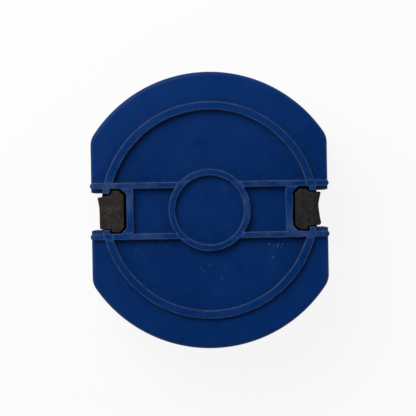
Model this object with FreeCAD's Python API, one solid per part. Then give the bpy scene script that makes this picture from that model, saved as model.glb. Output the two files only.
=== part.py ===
"""Magnetic glass cleaner for an aquarium: two equal halves that hold each other through the pane.

Each half is a moulded housing with a ribbed back, closed by a cover that carries the magnets and a pad. The
outline is a disc cut by two parallel flats. At each flat a rubber finger grip sits captive in a pocket
well, with a little play inwards. The halves are stored pad to pad: the inner, wet-side half lies on its
ribbed back, and the outer, dry-side half stands on it with its own ribbed back upwards.

Every half is modelled in its own frame, with the pad's face at z = 0 and the rib tops at z = half_height, and
is then placed. Row frame: +Z up, +X towards the right flat, origin on the axis at the lowest rib tops.
Millimetres.
"""

import FreeCAD
import Part
import math
import os

V = FreeCAD.Vector

# Overall
disc_radius = 55.0
across_flats = 94.0
half_height = 17.0
corner_radius = 8.0        # where a flat meets the disc
rest_gap = 0.3             # between the two pads when the halves lie together

# Housing walls
skirt = 1.0                # thin lip of the wall that surrounds the cover
roof = 2.0                 # plate under the deepest recess
edge_round = 1.8           # round between side wall and back field

# Back face, measured down from the rib tops
recess_depth = 2.5         # inside the ring
hub_depth = 2.0            # inside the hub ring
field_depth = 1.5          # outside the ring
land_depth = 2.2           # serrated finger lands beside the mouth
ring_flat_gap = 4.0        # from the flats to the ring
ring_width = 3.3
hub_radius = 16.25
hub_width = 2.6
bar_width = 2.45
tie_width = 2.8
bar_overhang = 0.25        # how far the bars' round ends stand out of the flats
bead_start = 1.3           # the bars run on down the side as beads, which end this far above the cover
ledge_width = 0.8          # low ledge along the bars, between ring and flat
ledge_height = 0.5
rib_round = 0.4            # round on the rib tops

# Rubber grip
grip_head_width = 16.6
grip_neck_width = 13.4
grip_head_length = 6.0
grip_neck_length = 4.75
grip_neck_taper = 0.35     # the neck narrows by this on each side, towards its finger face
grip_hollow = 0.9          # depth of the finger face's hollow
grip_chamfer = 2.0
grip_below_ribs = 0.6
flange_out = 0.9           # the foot flange, beyond the head on each side
flange_height = 1.5

# Pocket that holds the grip
pocket_side_gap = 0.55
mouth_side_gap = 0.7
play = 0.6                 # the grip's travel inwards
running_gap = 0.15         # stays open between grip and housing at either end of the travel
mouth_inset = 2.6          # from the flat to the grip's finger corners
detent_length = 2.8
detent_slope = 0.5
pocket_chamfer = 2.2
flange_gap = 0.2           # over the flange
ridge_count = 4
ridge_radius = 0.3

# Cover, pad and seal
pad_thickness = 2.4
pad_inset = 0.8
cover_thickness = 2.2
cover_fit = 0.15           # between cover and skirt
skirt_lift = 0.4           # the skirt ends this far above the cover's outer face
seal_width = 1.2
seal_height = 1.0
seal_margin = 0.6          # land on either side of the seal

# Magnets and what holds them
keeper_thickness = 1.2
foam_thickness = 0.7
fence_wall = 1.2
fence_height = 2.5
magnet_fit = 0.15
well_to_fence = 0.3
magnet_round = 1.0
keeper_reach = 1.0         # the keeper stands out beyond the magnets by this
keeper_well_gap = 0.6
keeper_corner = 3.0
rim_to_magnet = 2.0        # from the cavity's round wall to the magnets' fences

# Screws
screw_radius = 1.2
screw_length = 8.0
screw_head_radius = 2.8
screw_head_height = 1.6
screw_hole_gap = 0.4       # around the shank, in the cover
socket_radius = 0.8
socket_depth = 0.9
boss_radius = 3.0
boss_edge_gap = 2.3        # from the boss to the cavity's wall

# Worked out from the above: across the half
flat_x = across_flats / 2
well_wall = seal_width + 2 * seal_margin             # the seal lies under the wells' walls
wall = skirt + cover_fit + well_wall                 # and under the side wall
ring_outer = flat_x - ring_flat_gap
ring_inner = ring_outer - ring_width
hub_inner = hub_radius - hub_width
band_in = grip_head_width / 2 + pocket_side_gap      # inner faces of the bars, and the pocket's half width
band_out = band_in + bar_width
bar_end = flat_x + bar_overhang
mouth_half = grip_neck_width / 2 + mouth_side_gap
grip_face_x = flat_x - mouth_inset
grip_step_x = grip_face_x - grip_neck_length
grip_back_x = grip_step_x - grip_head_length
detent_in = grip_step_x + running_gap
detent_out = detent_in + detent_length
pocket_x = grip_back_x - play - running_gap
tie_x = pocket_x - tie_width
flange_half = grip_head_width / 2 + flange_out
flange_well = flange_half + pocket_side_gap
well_out = flange_well + well_wall

# Worked out from the above: through the half's height
cover_z = pad_thickness
cover_top = cover_z + cover_thickness
skirt_z = cover_z + skirt_lift
recess_z = half_height - recess_depth
hub_z = half_height - hub_depth
field_z = half_height - field_depth
land_z = half_height - land_depth
roof_z = recess_z - roof
foot_z = cover_top + running_gap + flange_height + flange_gap
foam_z = roof_z - foam_thickness
keeper_z = foam_z - keeper_thickness

# Worked out from the above: the magnets' bays
cavity_radius = disc_radius - wall
cavity_x = flat_x - wall
side_boss_x = cavity_x - boss_edge_gap - boss_radius
side_boss_y = (well_out + math.sqrt(cavity_radius ** 2 - side_boss_x ** 2)) / 2
end_boss_y = cavity_radius - boss_edge_gap - boss_radius
bay_x0 = magnet_fit + fence_wall
bay_x1 = side_boss_x - boss_radius - fence_wall - 2 * magnet_fit
bay_y0 = well_out + well_to_fence + fence_wall + magnet_fit
fence_corner = cavity_radius - rim_to_magnet
bay_y1 = math.sqrt(fence_corner ** 2 - (bay_x1 + fence_wall) ** 2) - fence_wall
disc_magnet_radius = bay_y0 - 2 * magnet_fit - fence_wall


def box(x0, x1, y0, y1, z0, z1):
    """A box between two corners."""
    return Part.makeBox(x1 - x0, y1 - y0, z1 - z0, V(x0, y0, z0))


def both_sides(shape):
    """The shape with its mirror image across the YZ plane."""
    return [shape, shape.mirror(V(0, 0, 0), V(1, 0, 0))]


def four_ways(shape):
    """The shape with its mirror images across both upright planes."""
    return [m for s in both_sides(shape) for m in (s, s.mirror(V(0, 0, 0), V(0, 1, 0)))]


def cylinder(radius, z0, z1, x=0.0, y=0.0):
    """An upright cylinder."""
    return Part.makeCylinder(radius, z1 - z0, V(x, y, z0), V(0, 0, 1))


def annulus(outer, inner, z0, z1):
    """An upright round ring."""
    return cylinder(outer, z0, z1).cut(cylinder(inner, z0, z1))


def outline(inset, z):
    """The disc cut by two flats, with round corners, as a face drawn in from the edge by inset."""
    radius = disc_radius - inset
    edge_x = flat_x - inset
    corner = corner_radius - inset
    centre_x = edge_x - corner
    centre_y = math.sqrt((radius - corner) ** 2 - centre_x ** 2)
    centre_angle = math.atan2(centre_y, centre_x)
    on_disc = V(radius * math.cos(centre_angle), radius * math.sin(centre_angle), z)
    half_turn = centre_angle / 2
    on_corner = V(centre_x + corner * math.cos(half_turn), centre_y + corner * math.sin(half_turn), z)
    on_flat = V(edge_x, centre_y, z)

    def turned(p, sx, sy):
        return V(sx * p.x, sy * p.y, z)

    edges = [Part.LineSegment(turned(on_flat, 1, -1), on_flat)]
    edges.append(Part.Arc(on_flat, on_corner, on_disc))
    edges.append(Part.Arc(on_disc, V(0, radius, z), turned(on_disc, -1, 1)))
    edges.append(Part.Arc(turned(on_disc, -1, 1), turned(on_corner, -1, 1), turned(on_flat, -1, 1)))
    edges.append(Part.LineSegment(turned(on_flat, -1, 1), turned(on_flat, -1, -1)))
    edges.append(Part.Arc(turned(on_flat, -1, -1), turned(on_corner, -1, -1), turned(on_disc, -1, -1)))
    edges.append(Part.Arc(turned(on_disc, -1, -1), V(0, -radius, z), turned(on_disc, 1, -1)))
    edges.append(Part.Arc(turned(on_disc, 1, -1), turned(on_corner, 1, -1), turned(on_flat, 1, -1)))
    return Part.Face(Part.Wire([e.toShape() for e in edges]))


def slab(inset, z0, z1):
    """The outline, drawn in by inset, between two heights."""
    return outline(inset, z0).extrude(V(0, 0, z1 - z0))


def polygon_prism(points, z0, z1):
    """An upright prism on a closed polygon."""
    corners = [V(x, y, z0) for x, y in points]
    return Part.Face(Part.makePolygon(corners + corners[:1])).extrude(V(0, 0, z1 - z0))


def well_boxes(shrink, z0, z1):
    """The blocks that the pocket wells take up at the flats, made smaller by shrink on their inner sides."""
    reach = disc_radius
    return both_sides(box(tie_x + shrink, reach, shrink - well_out, well_out - shrink, z0, z1))


def mouths(z0, z1, start):
    """The finger notches through the flats, from start outwards."""
    return both_sides(box(start, disc_radius, -mouth_half, mouth_half, z0, z1))


def screw_places():
    """The six screws: one beside each corner and one at each end of the long axis."""
    corners = [(sx * side_boss_x, sy * side_boss_y) for sx in (1, -1) for sy in (1, -1)]
    return corners + [(0.0, end_boss_y), (0.0, -end_boss_y)]


def top_edges(shape, z):
    """The edges of a shape that lie wholly at height z."""
    return [e for e in shape.Edges if abs(e.BoundBox.ZMin - z) < 1e-6 and abs(e.BoundBox.ZMax - z) < 1e-6]


def rib_network():
    """Ring, hub ring, bars, ties, detents and gussets, as one prism from the roof to the rounded rib tops."""
    z0 = roof_z + roof / 2
    ring = annulus(ring_outer, ring_inner, z0, half_height)
    ring = ring.cut(box(-disc_radius, disc_radius, -band_in, band_in, z0, half_height))
    hub = annulus(hub_radius, hub_inner, z0, half_height)
    end_radius = bar_width / 2
    bar_y = band_in + end_radius
    bar_straight = bar_end - end_radius
    bars = []
    for y in (bar_y, -bar_y):
        bars.append(box(-bar_straight, bar_straight, y - end_radius, y + end_radius, z0, half_height))
        bars.extend(both_sides(cylinder(end_radius, z0, half_height, bar_straight, y)))
    ties = both_sides(box(tie_x, pocket_x, -bar_y, bar_y, z0, half_height))
    detent = [(detent_in, mouth_half), (detent_out - detent_slope, mouth_half), (detent_out, bar_y),
              (detent_in, bar_y)]
    tie_middle = pocket_x - tie_width / 2
    gusset = [(tie_middle, band_in - pocket_chamfer), (pocket_x, band_in - pocket_chamfer),
              (pocket_x + pocket_chamfer, band_in), (pocket_x + pocket_chamfer, bar_y), (tie_middle, bar_y)]
    detents = four_ways(polygon_prism(detent, z0, half_height))
    gussets = four_ways(polygon_prism(gusset, z0, half_height))
    ribs = ring.multiFuse([hub] + bars + ties + detents + gussets).removeSplitter()
    ribs = ribs.cut(cylinder(hub_inner, z0, half_height))
    return ribs.makeFillet(rib_round, top_edges(ribs, half_height))


def bar_ledges():
    """Low ledges beside the bars' outer stretches, on the side away from the grip."""
    ring_x = math.sqrt(ring_outer ** 2 - band_out ** 2)
    ledge_end = flat_x - edge_round
    ledge = box(ring_x - ring_width / 2, ledge_end, band_out - bar_width / 2, band_out + ledge_width,
                recess_z, field_z + ledge_height)
    return four_ways(ledge)


def pocket_cut():
    """A grip's well: a chamfered pocket, a wider foot for its flange, and the mouth with its finger lands."""
    top = half_height + 1
    chamfer_x = pocket_x + pocket_chamfer
    chamfer_y = band_in - pocket_chamfer
    slot = [(pocket_x, chamfer_y), (chamfer_x, band_in), (detent_in, band_in),
            (detent_in, -band_in), (chamfer_x, -band_in), (pocket_x, -chamfer_y)]
    well = polygon_prism(slot, skirt_z - 1, top)
    foot = box(pocket_x, detent_in, -flange_well, flange_well, skirt_z - 1, foot_z)
    mouth = box(detent_in - 0.1, disc_radius, -mouth_half, mouth_half, skirt_z - 1, top)
    lands = box(detent_out, disc_radius, -band_in, band_in, land_z, top)
    return both_sides(well.multiFuse([foot, mouth])) + both_sides(lands)


def finger_lands():
    """Small half-round ridges across the lands on either side of each mouth."""
    pitch = (flat_x - edge_round / 2 - detent_out) / ridge_count
    ridges = []
    for n in range(ridge_count):
        x = detent_out + (n + 0.5) * pitch
        start = V(x, mouth_half, land_z)
        ridges.extend(four_ways(Part.makeCylinder(ridge_radius, band_in - mouth_half, start, V(0, 1, 0))))
    return ridges


def housing():
    """The moulded shell of one half."""
    body = slab(0, skirt_z, field_z)
    body = body.makeFillet(edge_round, top_edges(body, field_z))
    body = body.cut(slab(skirt, skirt_z, cover_top))
    cavity = slab(wall, cover_top, roof_z).cut(Part.makeCompound(well_boxes(0, cover_top, roof_z)))
    bosses = [cylinder(boss_radius, cover_top, roof_z, x, y) for x, y in screw_places()]
    cavity = cavity.cut(Part.makeCompound(bosses))
    body = body.cut(cavity)
    body = body.cut(cylinder(ring_inner, recess_z, half_height))
    bead_radius = bar_width / 2
    bead_x = bar_end - bead_radius
    beads = four_ways(cylinder(bead_radius, cover_top + bead_start, recess_z, bead_x, band_in + bead_radius))
    hub_floor = cylinder(hub_inner + hub_width / 2, recess_z - roof / 2, hub_z)
    body = body.multiFuse([rib_network(), hub_floor] + beads + bar_ledges())
    for shape in pocket_cut():
        body = body.cut(shape)
    body = body.multiFuse(finger_lands())
    holes = [cylinder(screw_radius, cover_top, cover_z + screw_head_height + screw_length, x, y)
             for x, y in screw_places()]
    return body.cut(Part.makeCompound(holes)).removeSplitter()


def grip():
    """The right-hand rubber grip: chamfered head, neck with a hollowed finger face, and foot flange."""
    head = grip_head_width / 2
    neck = grip_neck_width / 2
    tip = neck - grip_neck_taper
    z0 = cover_top + running_gap
    z1 = half_height - grip_below_ribs
    chamfer_x = grip_back_x + grip_chamfer
    chamfer_y = head - grip_chamfer
    corners = [(grip_face_x, -tip), (grip_step_x, -neck), (grip_step_x, -head), (chamfer_x, -head),
               (grip_back_x, -chamfer_y), (grip_back_x, chamfer_y), (chamfer_x, head), (grip_step_x, head),
               (grip_step_x, neck), (grip_face_x, tip)]
    points = [V(x, y, z0) for x, y in corners]
    edges = [Part.LineSegment(a, b).toShape() for a, b in zip(points, points[1:])]
    edges.append(Part.Arc(points[-1], V(grip_face_x - grip_hollow, 0, z0), points[0]).toShape())
    body = Part.Face(Part.Wire(edges)).extrude(V(0, 0, z1 - z0))
    flange = box(chamfer_x, grip_step_x, -flange_half, flange_half, z0, z0 + flange_height)
    return body.fuse(flange).removeSplitter()


def magnet_blocks():
    """The four block magnets, in quarters of the cavity, standing on the cover."""
    block = box(bay_x0, bay_x1, bay_y0, bay_y1, cover_top, keeper_z)
    upright = [e for e in block.Edges if e.BoundBox.ZLength > 1]
    return four_ways(block.makeFillet(magnet_round, upright))


def hub_magnet():
    """The disc magnet behind the hub ring."""
    return cylinder(disc_magnet_radius, cover_top, keeper_z)


def magnet_fences():
    """Low walls on the cover that hold the magnets in place."""
    z0 = cover_top - cover_thickness / 2
    z1 = cover_top + fence_height
    far = fence_wall + magnet_fit
    block = box(bay_x0 - far, bay_x1 + far, bay_y0 - far, bay_y1 + far, z0, z1)
    round_fence = cylinder(disc_magnet_radius + far, z0, z1)
    walls = round_fence.multiFuse(four_ways(block))
    rooms = four_ways(box(bay_x0 - magnet_fit, bay_x1 + magnet_fit, bay_y0 - magnet_fit, bay_y1 + magnet_fit,
                          cover_top, z1))
    rooms.append(cylinder(disc_magnet_radius + magnet_fit, cover_top, z1))
    return walls, rooms


def seal_path(z0, z1):
    """The band that the seal fills: round the rim and in round both wells, on the ledge of the wall."""
    def region(inset, shrink):
        return slab(inset, z0, z1).cut(Part.makeCompound(well_boxes(shrink, z0, z1)))

    outer_inset = skirt + cover_fit + seal_margin
    inner_shrink = seal_margin
    return region(outer_inset, inner_shrink + seal_width).cut(region(outer_inset + seal_width, inner_shrink))


def cover():
    """The flat cover, let into the skirt, with countersunk holes, a groove for the seal and the fences."""
    plate = slab(skirt + cover_fit, cover_z, cover_top)
    walls, rooms = magnet_fences()
    body = plate.fuse(walls).cut(Part.makeCompound(rooms))
    body = body.cut(Part.makeCompound(mouths(cover_z, cover_top, grip_face_x - grip_hollow - play)))
    body = body.cut(seal_path(cover_top - seal_height, cover_top))
    for x, y in screw_places():
        body = body.cut(cylinder(screw_radius + screw_hole_gap, cover_z, cover_top, x, y))
        body = body.cut(screw_head(x, y))
    return body.removeSplitter()


def screw_head(x, y):
    """The countersunk head of a screw, flush with the cover's outer face."""
    return Part.makeCone(screw_head_radius, screw_radius, screw_head_height, V(x, y, cover_z), V(0, 0, 1))


def screws():
    """The six self-tapping screws with hexagon sockets."""
    made = []
    for x, y in screw_places():
        shank = cylinder(screw_radius, cover_z + screw_head_height, cover_z + screw_length, x, y)
        turns = [n * math.pi / 3 for n in range(6)]
        hexagon = [(x + socket_radius * math.cos(a), y + socket_radius * math.sin(a)) for a in turns]
        socket = polygon_prism(hexagon, cover_z, cover_z + socket_depth)
        made.append(screw_head(x, y).fuse(shank).cut(socket).removeSplitter())
    return Part.makeCompound(made)


def keeper_outline(z0, z1, inset):
    """The plate that spans the magnets and is waisted round the wells, made smaller by inset."""
    reach_x = bay_x1 + keeper_reach - inset
    reach_y = bay_y1 + keeper_reach - inset
    plate = box(-reach_x, reach_x, -reach_y, reach_y, z0, z1)
    plate = plate.makeFillet(keeper_corner, [e for e in plate.Edges if e.BoundBox.ZLength > (z1 - z0) / 2])
    return plate.cut(Part.makeCompound(well_boxes(-keeper_well_gap - inset, z0, z1)))


def pad():
    """The pad's plain solid, notched at the mouths like the rest of the half."""
    return slab(pad_inset, 0, pad_thickness).cut(Part.makeCompound(mouths(0, pad_thickness, detent_in)))


def half_pieces(pad_name):
    """Every piece of one half, in the half's own frame."""
    pieces = {"housing": housing(), "cover": cover()}
    pieces["cover_seal"] = seal_path(cover_top - seal_height, cover_top)
    for n, block in enumerate(magnet_blocks()):
        pieces[f"magnet_{n + 1}"] = block
    pieces["hub_magnet"] = hub_magnet()
    pieces["keeper_plate"] = keeper_outline(keeper_z, foam_z, 0)
    pieces["foam_sheet"] = keeper_outline(foam_z, roof_z, keeper_reach)
    pieces["cover_screws"] = screws()
    pieces[pad_name] = pad()
    right = grip()
    pieces["right_grip"] = right
    pieces["left_grip"] = right.mirror(V(0, 0, 0), V(1, 0, 0))
    return pieces


def as_outer(shape):
    """Places a piece in the outer half, which stands pad down on the inner one."""
    placed = shape.copy()
    placed.translate(V(0, 0, half_height + rest_gap))
    return placed


def as_inner(shape):
    """Places a piece in the inner half, which lies on its back with its pad upwards."""
    placed = shape.copy()
    placed.rotate(V(0, 0, 0), V(1, 0, 0), 180)
    placed.translate(V(0, 0, half_height))
    return placed


def main():
    os.makedirs("parts", exist_ok=True)
    for prefix, place, pad_name in (("outer", as_outer, "felt_pad"), ("inner", as_inner, "scouring_pad")):
        for name, shape in half_pieces(pad_name).items():
            placed = place(shape)
            placed.exportStep(f"parts/{prefix}_{name}.step")
            print(f"{prefix}_{name}", len(placed.Solids), placed.isValid(), round(placed.Volume, 1))


main()
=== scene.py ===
import bmesh
import bpy
import math
from mathutils import Matrix, Vector, noise


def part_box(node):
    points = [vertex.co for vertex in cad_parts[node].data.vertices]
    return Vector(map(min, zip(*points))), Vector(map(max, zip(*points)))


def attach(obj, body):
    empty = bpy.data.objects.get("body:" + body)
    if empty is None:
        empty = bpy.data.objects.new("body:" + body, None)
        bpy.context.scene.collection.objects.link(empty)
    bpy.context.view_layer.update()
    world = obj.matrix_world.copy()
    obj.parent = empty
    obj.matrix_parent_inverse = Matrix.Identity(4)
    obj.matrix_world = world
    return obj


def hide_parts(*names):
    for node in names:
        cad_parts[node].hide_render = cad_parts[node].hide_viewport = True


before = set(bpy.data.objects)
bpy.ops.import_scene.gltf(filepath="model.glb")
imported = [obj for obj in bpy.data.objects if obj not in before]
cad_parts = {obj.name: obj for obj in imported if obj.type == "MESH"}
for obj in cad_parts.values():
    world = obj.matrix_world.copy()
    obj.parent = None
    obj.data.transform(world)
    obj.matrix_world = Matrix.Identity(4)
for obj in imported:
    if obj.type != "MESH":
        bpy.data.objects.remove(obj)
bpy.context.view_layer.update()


# Housings. Each half has one shell of blue plastic, moulded in one shot with its ribbed back, grip pockets
# and screw bosses. It is built in its half's own frame, with the pad's face at height zero and the rib tops
# uppermost, and placed twice: face down for the outer half, turned over for the inner one.
mm = 0.001
outer_low, outer_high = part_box("outer_housing")
outer_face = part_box("outer_felt_pad")[0].z
inner_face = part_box("inner_scouring_pad")[1].z
grip_low, grip_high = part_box("outer_right_grip")
half_height = outer_high.z - outer_face
skirt_z = outer_low.z - outer_face
cover_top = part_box("outer_cover_seal")[1].z - outer_face
roof_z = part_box("outer_foam_sheet")[1].z - outer_face
disc_radius = outer_high.y
bar_overhang = 0.25 * mm
flat_x = outer_high.x - bar_overhang
corner_radius = 8 * mm
skirt = 1 * mm
wall = 3.55 * mm
edge_round = 1.8 * mm
side_draft = 0.15 * mm

field_z = half_height - 1.5 * mm
hub_z = half_height - 2.0 * mm
land_z = half_height - 2.2 * mm
recess_z = half_height - 2.5 * mm
rib_foot = recess_z - 1.0 * mm
rib_round = 0.42 * mm
rib_draft = 0.14 * mm
ring_outer = flat_x - 4.0 * mm
ring_half = 1.65 * mm
ring_mid = ring_outer - ring_half
hub_half = 1.3 * mm
hub_mid = 14.95 * mm
bar_half = 1.225 * mm
band = 8.85 * mm
bar_y = band + bar_half
pocket_x = grip_low.x - 0.75 * mm
tie_half = 1.4 * mm
tie_x = pocket_x - tie_half
pocket_chamfer = 2.2 * mm
mouth_half = 7.4 * mm
detent_in = grip_low.x + 6.15 * mm
detent_out = detent_in + 2.8 * mm
ledge_width = 0.8 * mm
well_half = grip_high.y + 0.6 * mm
well_wall = 2.4 * mm
well_foot = cover_top + 1.85 * mm
boss_radius = 3 * mm
screw_radius = 1.2 * mm
to_outer = Matrix.Translation((0, 0, outer_face))
to_inner = Matrix.Translation((0, 0, inner_face)) @ Matrix.Rotation(math.pi, 4, "X")


def linked(name, data):
    made = bpy.data.objects.new(name, data)
    bpy.context.scene.collection.objects.link(made)
    return made


def lofted(name, loops, closed=False):
    """A skin through loops of equally many points, with capped ends or closed on itself."""
    bm = bmesh.new()
    rings = [[bm.verts.new(point) for point in loop] for loop in loops]
    count = len(rings[0])
    following = rings[1:] + rings[:1] if closed else rings[1:]
    for ring, after in zip(rings, following):
        for i in range(count):
            j = (i + 1) % count
            bm.faces.new((ring[i], ring[j], after[j], after[i]))
    if not closed:
        bm.faces.new(rings[0])
        bm.faces.new(rings[-1])
    bmesh.ops.recalc_face_normals(bm, faces=bm.faces)
    mesh = bpy.data.meshes.new(name)
    bm.to_mesh(mesh)
    bm.free()
    return linked(name, mesh)


def plain(piece):
    """Turns a piece's modifiers into plain mesh."""
    evaluated = piece.evaluated_get(bpy.context.evaluated_depsgraph_get())
    mesh = bpy.data.meshes.new_from_object(evaluated)
    piece.modifiers.clear()
    piece.data = mesh


def combined(target, others, operation):
    """Joins other solids to a piece, or cuts them out of it, one after another, and uses them up."""
    for other in others:
        boolean = target.modifiers.new("combine", "BOOLEAN")
        boolean.operation = operation
        boolean.object = other
        boolean.solver = "MANIFOLD"
        plain(target)
        bpy.data.objects.remove(other)


def rim(inset, z):
    """The half's outline, a disc cut by two flats with round corners, drawn in by inset."""
    centre_x = flat_x - corner_radius
    centre_y = math.sqrt((disc_radius - corner_radius) ** 2 - centre_x ** 2)
    corner_turn = math.atan2(centre_y, centre_x)
    flat_steps, corner_steps, disc_steps = 14, 6, 40
    quarter = [(flat_x - inset, centre_y * i / flat_steps) for i in range(flat_steps)]
    for i in range(corner_steps):
        turn = corner_turn * i / corner_steps
        reach = corner_radius - inset
        quarter.append((centre_x + reach * math.cos(turn), centre_y + reach * math.sin(turn)))
    for i in range(disc_steps):
        turn = corner_turn + (math.pi / 2 - corner_turn) * i / disc_steps
        quarter.append(((disc_radius - inset) * math.cos(turn), (disc_radius - inset) * math.sin(turn)))
    upper = quarter + [(0, disc_radius - inset)] + [(-x, y) for x, y in reversed(quarter)]
    lower = [(x, -y) for x, y in reversed(upper[1:-1])]
    return [Vector((x, y, z)) for x, y in upper + lower]


def quarter_round(radius, steps=4):
    """How far in and how far down a rounded top edge lies, from its side to its top."""
    turns = [math.pi / 2 * i / steps for i in range(steps + 1)]
    return [(radius * (1 - math.cos(t)), radius * (1 - math.sin(t))) for t in turns]


def waver(x, y, seed=0.0):
    """How far a moulded edge strays from its line."""
    slow = noise.noise(Vector((x / (6 * mm), y / (6 * mm), seed)))
    quick = noise.noise(Vector((x / (1.7 * mm), y / (1.7 * mm), seed + 9)))
    return (0.1 * slow + 0.065 * quick) * mm


def rib(name, path, half_width, closed=False):
    """A rib along a path on the back, with a little draft, rounded top edges, and wavering sides."""
    loops = []
    for i, point in enumerate(path):
        ahead = path[(i + 1) % len(path)] if closed else path[min(i + 1, len(path) - 1)]
        behind = path[i - 1] if closed else path[max(i - 1, 0)]
        along = (ahead - behind).normalized()
        across = Vector((-along.y, along.x))
        loop = []
        for side in (1, -1):
            edge = point + across * side * half_width
            reach = half_width + waver(edge.x, edge.y)
            flank = [(rib_draft, half_height - rib_foot)]
            flank += [(-inset, drop) for inset, drop in quarter_round(rib_round)]
            here = [point + across * side * (reach + out) for out, drop in flank]
            stack = [Vector((p.x, p.y, half_height - drop)) for p, (out, drop) in zip(here, flank)]
            loop += stack if side == 1 else reversed(stack)
        loops.append(loop)
    return lofted(name, loops, closed)


def arc_path(radius, start, end, step=1.2 * mm):
    count = max(3, round(radius * abs(end - start) / step))
    turns = [start + (end - start) * i / count for i in range(count + 1)]
    return [Vector((radius * math.cos(t), radius * math.sin(t))) for t in turns]


def straight_path(start, end, step=1.2 * mm):
    start, end = Vector(start), Vector(end)
    count = max(2, round((end - start).length / step))
    return [start.lerp(end, i / count) for i in range(count + 1)]


def post(name, x, y, radius, foot, top, rounding):
    """An upright round post with a rounded top edge."""
    around = 28
    turns = [math.tau * i / around for i in range(around)]
    stack = [(0, foot)] + [(inset, top - drop) for inset, drop in quarter_round(rounding)]
    loops = [[Vector((x + (radius - inset) * math.cos(t), y + (radius - inset) * math.sin(t), z))
              for t in turns] for inset, z in stack]
    return lofted(name, loops)


def drawn_in(points, inset):
    """A polygon, given anticlockwise, with every side moved inwards."""
    moved = []
    for i, point in enumerate(points):
        before = (point - points[i - 1]).normalized()
        after = (points[(i + 1) % len(points)] - point).normalized()
        inward = Vector((-before.y - after.y, before.x + after.x)).normalized()
        lean = inward.dot(Vector((-after.y, after.x)))
        moved.append(point + inward * (inset / lean))
    return moved


def block(name, corners, foot, top, rounding=0.0):
    """An upright prism on a polygon given anticlockwise, with a rounded top edge."""
    points = [Vector(corner) for corner in corners]
    stack = [(0, foot)]
    stack += [(inset, top - drop) for inset, drop in quarter_round(rounding)] if rounding else [(0, top)]
    loops = [[Vector((p.x, p.y, z)) for p in drawn_in(points, inset)] for inset, z in stack]
    return lofted(name, loops)


def rounded(corners, radius, steps=3):
    """A polygon with its corners turned into small arcs."""
    points = [Vector(corner) for corner in corners]
    made = []
    for i, point in enumerate(points):
        to_before = (points[i - 1] - point).normalized()
        to_after = (points[(i + 1) % len(points)] - point).normalized()
        half_turn = to_before.angle(to_after) / 2
        reach = radius / math.tan(half_turn)
        start, end = point + to_before * reach, point + to_after * reach
        for step in range(steps + 1):
            share = step / steps
            made.append(start.lerp(point, share).lerp(point.lerp(end, share), share))
    return made


def sides(corners):
    """The polygon and its mirror images across both upright planes, each still anticlockwise."""
    return [
        [(x, y) for x, y in corners],
        [(-x, y) for x, y in reversed(corners)],
        [(-x, -y) for x, y in corners],
        [(x, -y) for x, y in reversed(corners)],
    ]


def rectangle(x0, x1, y0, y1):
    return [(x0, y0), (x1, y0), (x1, y1), (x0, y1)]


def shell_body():
    """The plain shell before its ribs: skirt, drafted side wall, rounded shoulder and back field."""
    loops = [rim(skirt, cover_top), rim(skirt, skirt_z), rim(0.25 * mm, skirt_z)]
    loops.append(rim(0.0, skirt_z + 0.25 * mm))
    for share in (0.35, 0.7):
        loops.append(rim(side_draft * share, skirt_z + (field_z - edge_round - skirt_z) * share))
    for inset, drop in quarter_round(edge_round - side_draft, 6):
        loops.append(rim(side_draft + inset, field_z - drop * edge_round / (edge_round - side_draft)))
    return lofted("shell", loops)


def shell_cutters():
    """What is cut out of the plain shell: the recess, the pockets, the mouths and the finger lands."""
    past, slack, around = 1 * mm, 0.3 * mm, 160
    top, foot, out = half_height + past, skirt_z - past, disc_radius
    turns = [math.tau * i / around for i in range(around)]
    round_recess = [Vector((ring_mid * math.cos(t), ring_mid * math.sin(t))) for t in turns]
    recess = block("recess", round_recess, recess_z, top)
    hub_floor = post("hub_floor", 0, 0, hub_mid, recess_z - past, hub_z, 0.1 * mm)
    combined(recess, [hub_floor], "DIFFERENCE")
    cutters = [recess]
    chamfer_x, chamfer_y = pocket_x + pocket_chamfer, band - pocket_chamfer
    well = [(pocket_x, -chamfer_y), (chamfer_x, -band), (detent_in, -band), (detent_in, band),
            (chamfer_x, band), (pocket_x, chamfer_y)]
    for outline in sides(well)[:2]:
        cutters.append(block("well", outline, foot, top))
    for outline in sides(rectangle(pocket_x, detent_in, -well_half, well_half))[:2]:
        cutters.append(block("well_foot", outline, foot, well_foot))
    flare = 0.8 * mm
    mouth = [(detent_in - 0.1 * mm, -mouth_half), (flat_x - flare, -mouth_half),
             (flat_x - 0.3 * flare, -mouth_half - 0.3 * flare), (flat_x + 0.1 * mm, -mouth_half - flare),
             (out, -mouth_half - flare)]
    mouth += [(x, -y) for x, y in reversed(mouth)]
    for outline in sides(mouth)[:2]:
        cutters.append(block("mouth", outline, foot, top))
    for outline in sides(rectangle(detent_out - slack, out, -band - slack, band + slack))[:2]:
        cutters.append(block("land", outline, land_z, top))
    return cutters


def shell_cavity():
    """The hollow for the magnets, with the pocket wells and the screw bosses standing in it."""
    cavity = lofted("cavity", [rim(wall, cover_top - 1 * mm), rim(wall, roof_z)])
    foot, reach = cover_top - 2 * mm, well_half + well_wall
    left = [block("well_block", outline, foot, half_height)
            for outline in sides(rectangle(tie_x - tie_half, disc_radius, -reach, reach))[:2]]
    left += [post("boss", x, y, boss_radius, foot, half_height, 0.1 * mm) for x, y in screw_places]
    combined(cavity, left, "DIFFERENCE")
    return cavity


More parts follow.
